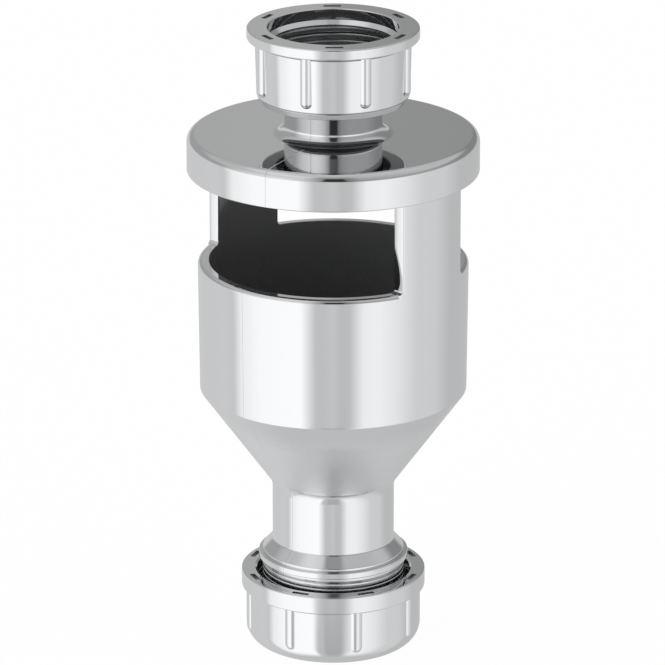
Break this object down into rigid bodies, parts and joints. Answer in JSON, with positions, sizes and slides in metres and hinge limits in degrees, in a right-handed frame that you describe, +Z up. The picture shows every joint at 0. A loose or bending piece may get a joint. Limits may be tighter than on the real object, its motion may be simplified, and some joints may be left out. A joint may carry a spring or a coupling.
{
  "type": "tundish",
  "caption": "Upright straight-through tundish: capped inlet stub with a loose threaded coupling nut, two air-gap windows, bowl, funnel cone and a compression outlet.",
  "frame": {"origin": "centre of the outlet nut's flat end, on the surface it stands on", "axes": "+Z up along the pipe's axis, from outlet to inlet; the two posts are on the X axis and the windows open along Y"},
  "size_m": [0.0938, 0.0938, 0.2081],
  "materials": {
    "chrome_body": "bright chrome plate on plastic, black and satin inside the bowl and cage",
    "chrome_cap": "bright chrome plate on plastic",
    "chrome_nuts": "bright chrome plate on plastic",
    "black_rubber": "matt",
    "black_plastic": "satin"
  },
  "bodies": {
    "tundish": {"body": "chrome_body", "cap": "chrome_cap", "inlet_washer": "black_rubber", "outlet_nut": "chrome_nuts", "outlet_seal": "black_rubber", "outlet_slip_ring": "black_plastic"},
    "coupling": {"inlet_nut": "chrome_nuts"}
  },
  "joints": [
    {"name": "inlet_nut_swivel", "type": "hinge", "parent": "tundish", "child": "coupling", "pos_m": [0, 0, 0.196], "axis": [0, 0, 1], "continuous": true}
  ]
}
